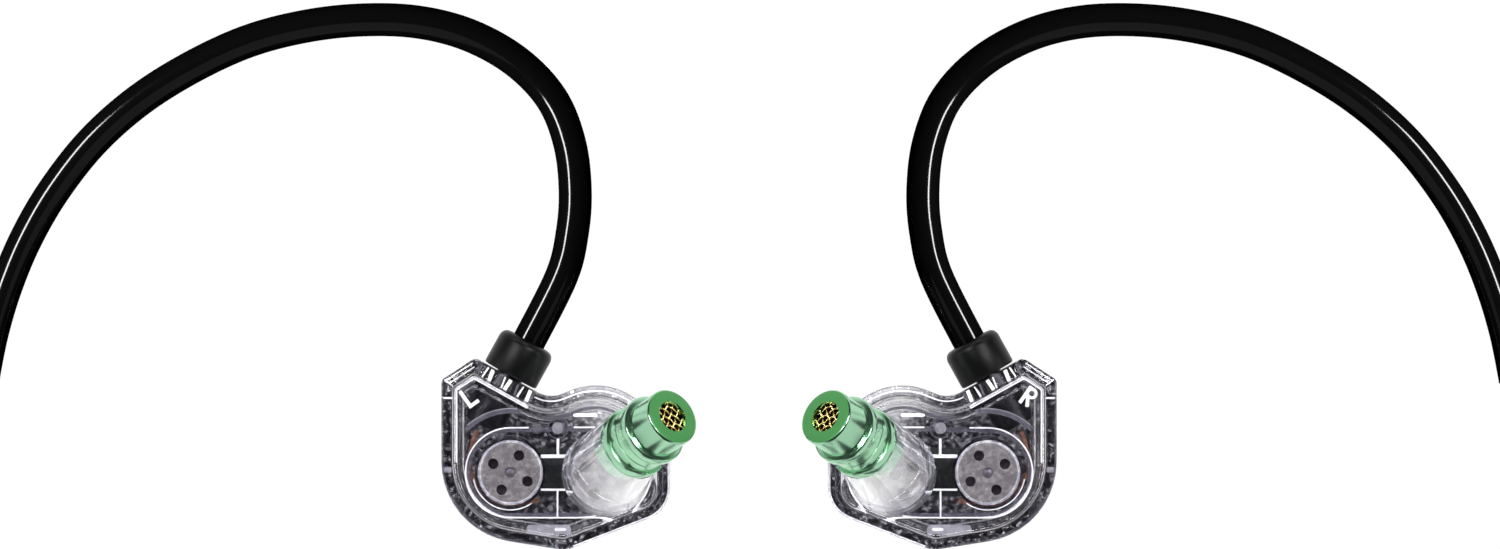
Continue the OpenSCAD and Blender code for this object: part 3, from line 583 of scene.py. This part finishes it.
def clear_plastic(name, dark, light, mottle, grain, scale=1600, spots=0, highlight_haze=0, at=LOBE, reach=LOBE_REACH):
    """Tinted clear plastic, dark with flecks of light. It is light all over near a point, out to a reach.

    spots makes the flecks less clear, and highlight_haze does the same to the plastic near the point. On the
    shells the light point is the clear lobe; on the stems it is a painted highlight.
    """
    made, tree, output = new_material(name)
    shader = add_node(tree, "ShaderNodeBsdfPrincipled", {"Roughness": 0.03, "IOR": 1.58})
    place = add_node(tree, "ShaderNodeTexCoord")
    noise = add_node(tree, "ShaderNodeTexNoise", {"Scale": scale, "Detail": 6, "Roughness": 0.65})
    fleck = add_node(tree, "ShaderNodeMapRange", {"From Min": 0.47, "From Max": 0.62, "To Max": mottle})
    solid = add_node(tree, "ShaderNodeMapRange", {"From Min": 0.57, "From Max": 0.64, "To Min": 1.0})
    solid.inputs["To Max"].default_value = 1 - spots
    apart = add_node(tree, "ShaderNodeSeparateXYZ")
    fold = add_node(tree, "ShaderNodeMath", operation="ABSOLUTE")
    again = add_node(tree, "ShaderNodeCombineXYZ")
    far = add_node(tree, "ShaderNodeVectorMath", operation="DISTANCE")
    far.inputs[1].default_value = at
    near = add_node(tree, "ShaderNodeMapRange", {"From Min": reach[0], "From Max": reach[1]})
    near.inputs["To Min"].default_value = 1
    near.inputs["To Max"].default_value = 0
    transmission_less_highlight = add_node(tree, "ShaderNodeMath", operation="MULTIPLY_ADD")
    transmission_less_highlight.inputs[1].default_value = -highlight_haze
    both = add_node(tree, "ShaderNodeMath", operation="ADD", use_clamp=True)
    mix = add_node(tree, "ShaderNodeMix", data_type="RGBA")
    mix.inputs["A"].default_value = srgb(dark)
    mix.inputs["B"].default_value = srgb(light)
    bump = add_node(tree, "ShaderNodeBump", {"Distance": grain / 1000, "Strength": 1})
    link(tree, place.outputs["Object"], noise.inputs["Vector"])
    link(tree, noise.outputs[0], fleck.inputs[0])
    link(tree, noise.outputs[0], solid.inputs[0])
    link(tree, near.outputs[0], transmission_less_highlight.inputs[0])
    link(tree, solid.outputs[0], transmission_less_highlight.inputs[2])
    link(tree, transmission_less_highlight.outputs[0], shader.inputs["Transmission Weight"])
    link(tree, place.outputs["Object"], apart.inputs[0])
    link(tree, apart.outputs[0], fold.inputs[0])
    link(tree, fold.outputs[0], again.inputs[0])
    link(tree, apart.outputs[1], again.inputs[1])
    link(tree, apart.outputs[2], again.inputs[2])
    link(tree, again.outputs[0], far.inputs[0])
    link(tree, far.outputs["Value"], near.inputs[0])
    link(tree, fleck.outputs[0], both.inputs[0])
    link(tree, near.outputs[0], both.inputs[1])
    link(tree, both.outputs[0], mix.inputs["Factor"])
    link(tree, mix.outputs["Result"], shader.inputs["Base Color"])
    link(tree, noise.outputs[0], bump.inputs["Height"])
    link(tree, bump.outputs[0], shader.inputs["Normal"])
    link(tree, shader.outputs[0], output.inputs["Surface"])
    return made


def merged(*parts):
    """One list of points and faces from several lofts, each made with start 0."""
    verts, faces = [], []
    for more_verts, more_faces in parts:
        base = len(verts)
        verts += more_verts
        faces += [([base + i for i in f[0]], f[1]) for f in more_faces]
    return verts, faces


def rod(x, y, z0, z1, radius, slot=0, edge=0.08, sides=32):
    """Upright rod with small rounded ends."""
    rings = []
    angles = [math.tau * k / sides for k in range(sides)]
    for r, z in ((radius - edge, z0), (radius, z0 + edge), (radius, z1 - edge), (radius - edge, z1)):
        rings.append([(x + r * math.cos(angle), y + r * math.sin(angle), z) for angle in angles])
    return loft(rings, slot)


def bar(x0, x1, y0, y1, z0, z1, slot=0, edge=0.06):
    """Box with rounded upright and lying edges."""
    rings = []
    for inset, z in ((edge, z0), (0, z0 + edge), (0, z1 - edge), (edge, z1)):
        width, depth = x1 - x0 - 2 * inset, y1 - y0 - 2 * inset
        plan = rounded_box(width, depth, min(width, depth) * 0.2, 2)
        rings.append([((x0 + x1) / 2 + px, (y0 + y1) / 2 + py, z) for px, py in plan])
    return loft(rings, slot)


smoke = clear_plastic("smoked_polycarbonate", "#100f15", "#f0f0f4", 0.7, grain=0.02, scale=2000, spots=0.7)
clear = clear_plastic("clear_polycarbonate", "#b0aeb6", "#f4f4f6", 0.7, grain=0.008)
# Near-white faces on ribs, walls and thin lines: painted highlights for the bright edge lines in the plastic.
white_highlight_paint = principled("rib_painted_highlight", "#f2f2f4", 0.2, Transmission_Weight=0.25, IOR=1.58)
# Grey of the locating post's face, also used for small bars and arcs that are painted highlights.
post_grey_and_highlight = principled("post_face_and_highlight", "#8f8e96", 0.4, grain=0.01, size=0.15, Transmission_Weight=0.3)
# Grey faces on ribs, rings and thin lines: dimmer painted highlights.
grey_highlight_paint = principled("rib_painted_dim_highlight", "#77757f", 0.15, Transmission_Weight=0.6, IOR=1.58)

# Sections of the two halves, as (inset from the plan, height)
tray_rings = [
    (1.5, 0), (1.0, 0.07), (0.82, 0.3), (0.8, 0.85), (0.62, 1.0), (0.15, 1.05), (0, 1.2), (0, 4.4),
    (0.14, 4.58), (0.98, 4.58), (1.1, 4.45), (1.1, 1.5), (1.3, 1.18), (1.7, 1.1),
]
raised_rings = [
    (3.0, 9.1), (2.6, 9.03), (2.4, 8.8), (2.4, 4.75), (2.25, 4.6), (2.15, 4.5), (2.15, 3.9), (2.0, 3.8),
    (1.3, 3.8), (1.15, 3.95), (1.15, 4.55), (0.98, 4.62), (0.14, 4.62), (0, 4.76), (0, 5.32), (0.06, 5.45),
    (0.2, 5.5), (1.12, 5.5), (1.25, 5.56), (1.3, 5.7), (1.3, 9.5), (1.38, 9.85), (1.6, 10.1), (1.95, 10.2),
]

# Middles of the two drivers and of the locating post, and the height of the ribs under the ceiling
REAR_X = -24.9
FRONT_X = -14.95
DRIVER_Y = -20.5
POST_X = -20
POST_Y = -15.9
RIB_TOP = 9.15


def stadium(radius, height, sides=28):
    """Ring of the wall round both drivers."""
    points = []
    for start, x in ((90, REAR_X), (270, FRONT_X)):
        for k in range(sides + 1):
            angle = math.radians(start + 180 * k / sides)
            points.append((x + radius * math.cos(angle), DRIVER_Y + radius * math.sin(angle), height))
    return points


def arc_rib(radius, start, end, z0, z1, thick, slot, steps=24):
    """Part of a round wall about the rear driver, between two angles."""
    rings = []
    for k in range(steps + 1):
        angle = math.radians(start + (end - start) * k / steps)
        ring = []
        for r, z in ((radius, z0), (radius + thick, z0), (radius + thick, z1), (radius, z1)):
            ring.append((REAR_X + r * math.cos(angle), DRIVER_Y + r * math.sin(angle), z))
        rings.append(ring)
    return loft(rings, slot)


def track(near, far, z0, z1, slot):
    """Upright wall between two plan lines."""
    rings = []
    for a, b in zip(near, far):
        rings.append([(a[0], a[1], z0), (b[0], b[1], z0), (b[0], b[1], z1), (a[0], a[1], z1)])
    return loft(rings, slot)


def contour(inset, width, first, last, z0, z1, slot):
    """Thin wall that follows part of the shell's plan, from one point of the outline to another."""
    near, far = outline(inset, 0), outline(inset + width, 0)
    span = [k % len(near) for k in range(first, last + 1)]
    return track([near[k] for k in span], [far[k] for k in span], z0, z1, slot)


def seat_rib(offset, width, lean, slot):
    """Small rib across the step in front of the connector, at an offset along the seat, leaning sideways."""
    rings = []
    top = max(1.7, math.sqrt(max(3.3**2 - offset**2, 0)) + 0.2)
    for z, shift in ((-1.35, lean), (-0.12, 0)):
        a, b = offset - width / 2 + shift, offset + width / 2 + shift
        corners = ((0.6 - top, a), (0.6 - top, b), (-top, b), (-top, a))
        rings.append([seat_frame @ Vector((x, y, z)) for x, y in corners])
    return loft(rings, slot)


def cup(x):
    """Round wall that holds a driver."""
    profile = [(3.2, 5.8), (3.62, 5.8), (3.7, 5.88), (3.7, 9.2), (3.2, 9.2)]
    return revolve(profile, Matrix.Translation((x, DRIVER_Y, 0)), 64)


def pad(x, y, length, width, corner, bottom, top, slot):
    """Flat oval thickening under the ceiling."""
    plan = rounded_box(length, width, corner)
    return loft([[(x + px, y + py, z) for px, py in plan] for z in (bottom, top)], slot)


# Toothed section of the socket's end, one tooth in four steps
teeth = []
for k in range(88):
    reach = 3.25 if k % 4 < 2 else 2.95
    angle = math.tau * k / 88
    teeth.append((reach * math.cos(angle), reach * math.sin(angle)))
for side_name, side in (("left", 1), ("right", -1)):
    skin = loft([outline(inset, z) for inset, z in tray_rings])
    boss = rod(POST_X, POST_Y, 1, 3.5, 1.45)
    tray = plain_object(f"{side_name}_tray", *merged(skin, boss), [smoke], side)
    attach(tray, f"{side_name}_earpiece")
    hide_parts(f"{side_name}_outer_shell")
    skin = loft([outline(inset, z) for inset, z in raised_rings])
    outer = [(-23, -15.76, 0)] + stadium(4.74, 0) + [(-18.3, -15.76, 0)]
    inner = [(-23, -15.9, 0)] + stadium(4.6, 0) + [(-18.3, -15.9, 0)]
    # The stadium wall and the ribs under the ceiling are white, the ring under them and the post's guard
    # grey: painted highlights for the bright edge lines.
    wall = track(outer, inner, 8.6, RIB_TOP, 1)
    under_profile = [(4.72, 8.55), (4.72, 7.6), (4.2, 7.6), (4.2, 8.55)]
    under = loft([stadium(radius, z) for radius, z in under_profile], 2, closed=True)
    ribs = [
        bar(-21.75, -18.05, -18.98, -18.62, 7.6, RIB_TOP, 1),
        bar(-21.75, -18.05, -22.38, -22.16, 7.6, RIB_TOP, 1),
        bar(-20.08, -19.92, -25.1, -22.3, 7.6, RIB_TOP, 1),
        bar(-20.1, -19.84, -18.7, -16.9, 7.6, RIB_TOP, 1),
    ]
    post = rod(POST_X, POST_Y, 1.5, 9.2, 0.6, 3)
    guard_profile = [(1.0, 7.8), (1.12, 7.8), (1.12, RIB_TOP), (1.0, RIB_TOP)]
    guard = revolve(guard_profile, Matrix.Translation((POST_X, POST_Y, 0)), 40, 2)
    # Arcs round the rear driver in white and grey: painted highlights for bright arcs in the plastic, not
    # shade.
    shade = [
        arc_rib(6.15, 80, 136, 8.2, RIB_TOP, 0.45, 2),
        arc_rib(6.6, 84, 132, 8.3, RIB_TOP, 0.1, 3),
        arc_rib(3.82, 190, 305, 8.8, 9.12, 0.1, 1),
        arc_rib(3.82, 55, 130, 8.8, 9.12, 0.07, 2),
    ]
    # Thin walls along the plan and small bars, in white and grey: painted highlights for the bright lines and
    # spots in the plastic.
    highlight_lines = [
        contour(1.75, 0.13, 76, 99, 9.3, 10.0, 1),
        contour(0.28, 0.1, 87, 88, 5.1, 5.44, 1),
        contour(0.72, 0.1, 87, 88, 5.1, 5.44, 1),
        contour(0.18, 0.06, 88, 110, 5.0, 5.4, 2),
        contour(2.1, 0.3, 55, 72, 9.2, 9.9, 2),
        contour(0.5, 0.12, 52, 76, 4.9, 5.4, 1),
        contour(0.15, 0.08, 32, 46, 5.1, 5.46, 1),
        contour(0.72, 0.12, 36, 44, 5.1, 5.46, 2),
        contour(0.6, 0.22, 22, 28, 4.9, 5.4, 2),
        contour(0.3, 0.08, 14, 20, 5.1, 5.4, 2),
        bar(-32.1, -31.15, -12.9, -12.7, 4.8, 5.44, 1),
        bar(-32.0, -31.2, -20.6, -20.05, 4.9, 5.44, 3),
        # A light grey pad under the ceiling with a white painted highlight streak on it, and a white oval
        # that is a painted reflection of a window in the ceiling.
        pad(-20.9, -26.35, 4.6, 0.85, 0.42, 8.8, RIB_TOP, 3),
        pad(-19.7, -26.4, 1.2, 0.32, 0.15, 8.7, 9.18, 1),
        pad(-17.1, -14.55, 2.5, 0.34, 0.16, 8.8, RIB_TOP, 1),
    ]
    # Ribs across the seat in white and grey: painted highlights for the bright ribbed glints in front of the
    # connector.
    for k, offset in enumerate((-3.2, -2.7, -1.9, -1.3, -0.4, 0.25, 0.8, 1.75, 2.3, 3.1)):
        highlight_lines.append(seat_rib(offset, (0.22, 0.38, 0.14)[k % 3], (0.12, -0.15)[k % 2], 1 if k % 3 else 2))
    socket = loft([[seat_frame @ Vector((x, y, z)) for x, y in teeth] for z in (-1.9, -0.2)])
    raised = plain_object(
        f"{side_name}_raised_half",
        *merged(skin, wall, under, *ribs, *highlight_lines, post, guard, *shade, socket, cup(REAR_X), cup(FRONT_X)),
        [clear, white_highlight_paint, grey_highlight_paint, post_grey_and_highlight],
        side,
    )
    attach(raised, f"{side_name}_earpiece")
    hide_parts(f"{side_name}_inner_shell")
    for made in (tray, raised):
        made.visible_shadow = False

# ---- Stems ----
# Clear leaning tube from the front driver to the nozzle, welded to the raised half.
# It is clear by the driver, and paler and less clear where it leans out over the shell's edge: a painted
# highlight on its lower right flank.
stem_clear = clear_plastic(
    "stem_polycarbonate",
    "#d6d6dc",
    "#ffffff",
    1,
    grain=0.006,
    scale=350,
    highlight_haze=0.35,
    at=(0.0108, -0.0212, 0.0118),
    reach=(0.002, 0.0075),
)
NOZZLE_TURN = 35.2
NOZZLE_TILT = 45
NOZZLE_LENGTH = 7.7
STEM_FOOT = 10.15
nozzle_frame = placed((-7.86, -14.47, 19), NOZZLE_TURN, NOZZLE_TILT)


def stem_ring(share, root, seat, sides=56):
    """Ring between the stem's root on the shell and its seat on the nozzle."""
    ring = []
    for k in range(sides):
        angle = math.tau * k / sides
        about = angle + math.radians(NOZZLE_TURN)
        low = Vector((FRONT_X + root * math.cos(about), DRIVER_Y + root * math.sin(about), STEM_FOOT))
        high = nozzle_frame @ Vector((seat * math.cos(angle), seat * math.sin(angle), -NOZZLE_LENGTH))
        ring.append(low.lerp(high, share))
    return ring


for side_name, side in (("left", 1), ("right", -1)):
    rings = [stem_ring(t, 4.6, 3.6) for t in (0, 0.03, 0.35, 0.7, 0.97, 1)]
    rings += [stem_ring(t, 3.25, 2.55) for t in (1, 0.7, 0.35, 0)]
    verts, faces = loft(rings, closed=True)
    stem = plain_object(f"{side_name}_leaning_stem", verts, faces, [stem_clear], side)
    stem.visible_shadow = False
    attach(stem, f"{side_name}_earpiece")
    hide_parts(f"{side_name}_stem")

# ---- Nozzles and screens ----
# Turned and green-anodised tubes that hold the ear tips, with a woven gold screen in the outlet.
# The front face is satin, and its darker green is painted shade on the same anodised metal as the brighter
# turned sides.
green_side = principled("green_anodised", "#a8dbb6", 0.2, grain=0.0003, size=0.4, metallic=1)
green_face_shaded = principled("green_front_shaded", "#54a55c", 0.45, grain=0.002, size=0.1, metallic=0.3)
bore_dark = principled("bore_shadow", "#0c120d", 0.5, grain=0.004, size=0.1)

# Turned section, as (radius, along the axis): barrel, stop, neck with a scribed line, seat, spigot and bore
nozzle = [
    (1.675, 0), (2.75, 0), (2.92, -0.05), (3.02, -0.14), (3.05, -0.3), (3.05, -3.05), (3.12, -3.18),
    (3.5, -3.2), (3.64, -3.26), (3.7, -3.4), (3.7, -4.1), (3.64, -4.24), (3.5, -4.3), (3.42, -4.4),
    (3.4, -4.55), (3.4, -5.4), (3.34, -5.43), (3.34, -5.5), (3.4, -5.53), (3.4, -6.35), (3.44, -6.46),
    (3.62, -6.5), (3.76, -6.56), (3.8, -6.7), (3.8, -7.5), (3.76, -7.64), (3.6, -7.7), (2.5, -7.7),
    (2.5, -9.7), (1.9, -9.7), (1.9, -0.6), (1.675, -0.6), (1.675, -0.1),
]


def weave_tree():
    """Geometry Nodes: woven wires clipped to a disc, both ways, from lines of points."""
    tree = bpy.data.node_groups.new("weave", "GeometryNodeTree")
    tree.interface.new_socket("Geometry", in_out="INPUT", socket_type="NodeSocketGeometry")
    for name in ("Reach", "Pitch", "Wire"):
        tree.interface.new_socket(name, in_out="INPUT", socket_type="NodeSocketFloat")
    tree.interface.new_socket("Material", in_out="INPUT", socket_type="NodeSocketMaterial")
    tree.interface.new_socket("Geometry", in_out="OUTPUT", socket_type="NodeSocketGeometry")
    given = add_node(tree, "NodeGroupInput")
    grid = add_node(tree, "GeometryNodeMeshGrid", {"Vertices X": 11, "Vertices Y": 88})
    size = add_node(tree, "ShaderNodeMath", operation="MULTIPLY")
    size.inputs[1].default_value = 10
    link(tree, given.outputs["Pitch"], size.inputs[0])
    link(tree, size.outputs[0], grid.inputs["Size X"])
    link(tree, size.outputs[0], grid.inputs["Size Y"])
    edges = add_node(tree, "GeometryNodeInputMeshEdgeVertices")
    ends = [add_node(tree, "ShaderNodeSeparateXYZ"), add_node(tree, "ShaderNodeSeparateXYZ")]
    link(tree, edges.outputs["Position 1"], ends[0].inputs[0])
    link(tree, edges.outputs["Position 2"], ends[1].inputs[0])
    across = add_node(tree, "ShaderNodeMath", operation="SUBTRACT")
    link(tree, ends[0].outputs[0], across.inputs[0])
    link(tree, ends[1].outputs[0], across.inputs[1])
    length = add_node(tree, "ShaderNodeMath", operation="ABSOLUTE")
    link(tree, across.outputs[0], length.inputs[0])
    sideways = add_node(tree, "ShaderNodeMath", operation="GREATER_THAN")
    sideways.inputs[1].default_value = 1e-6
    link(tree, length.outputs[0], sideways.inputs[0])
    cut = add_node(tree, "GeometryNodeDeleteGeometry", domain="EDGE", mode="EDGE_FACE")
    link(tree, grid.outputs["Mesh"], cut.inputs["Geometry"])
    link(tree, sideways.outputs[0], cut.inputs["Selection"])
    place = add_node(tree, "GeometryNodeInputPosition")
    parts = add_node(tree, "ShaderNodeSeparateXYZ")
    link(tree, place.outputs[0], parts.inputs[0])
    phase = []
    for axis in (0, 1):
        made = add_node(tree, "ShaderNodeMath", operation="DIVIDE")
        link(tree, parts.outputs[axis], made.inputs[0])
        link(tree, given.outputs["Pitch"], made.inputs[1])
        turn = add_node(tree, "ShaderNodeMath", operation="MULTIPLY")
        turn.inputs[1].default_value = math.pi
        link(tree, made.outputs[0], turn.inputs[0])
        wave = add_node(tree, "ShaderNodeMath", operation="COSINE")
        link(tree, turn.outputs[0], wave.inputs[0])
        phase.append(wave)
    height = add_node(tree, "ShaderNodeMath", operation="MULTIPLY")
    link(tree, phase[0].outputs[0], height.inputs[0])
    link(tree, phase[1].outputs[0], height.inputs[1])
    rise = add_node(tree, "ShaderNodeMath", operation="MULTIPLY")
    link(tree, height.outputs[0], rise.inputs[0])
    link(tree, given.outputs["Wire"], rise.inputs[1])
    lift = add_node(tree, "ShaderNodeCombineXYZ")
    link(tree, rise.outputs[0], lift.inputs[2])
    move = add_node(tree, "GeometryNodeSetPosition")
    link(tree, cut.outputs["Geometry"], move.inputs["Geometry"])
    link(tree, lift.outputs[0], move.inputs["Offset"])
    turned = add_node(tree, "GeometryNodeTransform", {"Rotation": (math.pi, 0, math.pi / 2)})
    link(tree, move.outputs["Geometry"], turned.inputs["Geometry"])
    join = add_node(tree, "GeometryNodeJoinGeometry")
    link(tree, move.outputs["Geometry"], join.inputs[0])
    link(tree, turned.outputs["Geometry"], join.inputs[0])
    reach = add_node(tree, "ShaderNodeVectorMath", operation="LENGTH")
    link(tree, place.outputs[0], reach.inputs[0])
    outside = add_node(tree, "ShaderNodeMath", operation="GREATER_THAN")
    link(tree, reach.outputs["Value"], outside.inputs[0])
    link(tree, given.outputs["Reach"], outside.inputs[1])
    clip = add_node(tree, "GeometryNodeDeleteGeometry", domain="POINT")
    link(tree, join.outputs[0], clip.inputs["Geometry"])
    link(tree, outside.outputs[0], clip.inputs["Selection"])
    line = add_node(tree, "GeometryNodeMeshToCurve")
    link(tree, clip.outputs["Geometry"], line.inputs["Mesh"])
    circle = add_node(tree, "GeometryNodeCurvePrimitiveCircle", {"Resolution": 10})
    link(tree, given.outputs["Wire"], circle.inputs["Radius"])
    tube = add_node(tree, "GeometryNodeCurveToMesh", {"Fill Caps": True})
    link(tree, line.outputs["Curve"], tube.inputs["Curve"])
    link(tree, circle.outputs["Curve"], tube.inputs["Profile Curve"])
    shade = add_node(tree, "GeometryNodeSetMaterial")
    link(tree, tube.outputs["Mesh"], shade.inputs["Geometry"])
    link(tree, given.outputs["Material"], shade.inputs["Material"])
    result = add_node(tree, "NodeGroupOutput")
    link(tree, shade.outputs["Geometry"], result.inputs["Geometry"])
    return tree


gold_wire = principled("gold_mesh", "#e2cb86", 0.25, grain=0.002, size=0.1, metallic=1)
weave = weave_tree()
for side_name, side in (("left", 1), ("right", -1)):
    verts, faces = revolve(nozzle, nozzle_frame, 96)
    made = plain_object(f"{side_name}_turned_nozzle", verts, faces, [green_side, green_face_shaded, bore_dark], side)
    middle = nozzle_frame @ Vector((0, 0, -0.02)) / 1000
    axis = (nozzle_frame.to_3x3() @ Vector((0, 0, 1))).normalized()
    middle.x *= side
    axis.x *= side
    for polygon in made.data.polygons:
        flat = polygon.normal.dot(axis) > 0.9 and (polygon.center - middle).dot(axis) > -0.0002
        deep = (polygon.center - middle).dot(axis)
        off = (polygon.center - middle - axis * deep).length
        polygon.material_index = 1 if flat else 2 if off < 0.00195 and deep < -0.0005 else 0
    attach(made, f"{side_name}_earpiece")
    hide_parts(f"{side_name}_nozzle")
    soft_lit.objects.link(made)
    screen = edge_line(f"{side_name}_woven_screen", [(0, 0, 0), (0, 0, 1)])
    values = {"Reach": 0.00183, "Pitch": 0.0007, "Wire": 0.00011, "Material": gold_wire}
    run_nodes(screen, weave, values)
    place = nozzle_frame @ Matrix.Translation((0, 0, -0.72)) @ Matrix.Rotation(0.5, 4, "Z")
    place.translation /= 1000
    screen.data.transform(place)
    if side < 0:
        screen.data.transform(Matrix.Diagonal((-1, 1, 1, 1)))
        screen.data.flip_normals()
    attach(screen, f"{side_name}_earpiece")
    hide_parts(f"{side_name}_nozzle_screen")

for member in soft_lit.collection_objects:
    member.light_linking.link_state = "EXCLUDE"

# ---- Drivers, board, wires, letters ----
# Perforated steel cans with their magnets and films, on CAD's own shapes.
# The crossover board, enamelled wires, damper and printed letters are CAD's shapes too.
steel = principled("steel_can", "#b4b0ae", 0.3, grain=0.004, size=0.6, metallic=0.8, edge=0.12)
# The bezel round each driver is near white: a painted highlight for the bright ring at the edge of its
# counterbore.
rim_highlight = principled("rim_painted_highlight", "#f4f4f6", 0.18, grain=0.002, size=0.4, metallic=0.5)
dimple = principled("centre_dimple", "#77757c", 0.35, grain=0.003, size=0.2, metallic=0.7)
magnet = principled("magnet_steel", "#4a4a50", 0.4, metallic=0.9)
film = principled("film", "#3a2f3c", 0.3)
board_green = principled("board", "#141a18", 0.45, grain=0.01, size=0.3)
copper = principled("copper_wire", "#8f6552", 0.45, metallic=0.6)
damper = principled("damper", "#50525a", 0.9, grain=0.02, size=0.1)
ink = principled("white_ink", "#f6f6f6", 0.4, grain=0.002, size=0.1)
bezel_profile = [
    (3.08, 8.78), (3.12, 8.86), (3.28, 8.88), (3.37, 8.84), (3.4, 8.76), (3.4, 8.6), (3.08, 8.6),
]
for side_name, side in (("left", 1), ("right", -1)):
    for x, label in ((REAR_X, "rear"), (FRONT_X, "front")):
        bezel = revolve(bezel_profile, Matrix.Translation((x, DRIVER_Y, 0)), 64)
        plug = rod(x, DRIVER_Y, 8.3, 8.62, 0.68, 1, 0.04)
        made = plain_object(f"{side_name}_{label}_driver_bezel", *merged(bezel, plug), [rim_highlight, dimple], side)
        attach(made, f"{side_name}_earpiece")
    paint(steel, f"{side_name}_rear_driver_case", f"{side_name}_front_driver_case")
    paint(magnet, f"{side_name}_driver_magnets")
    paint(film, f"{side_name}_driver_diaphragms")
    paint(board_green, f"{side_name}_crossover_board")
    paint(copper, f"{side_name}_signal_wires")
    paint(damper, f"{side_name}_acoustic_damper")
    paint(ink, f"{side_name}_channel_letter")
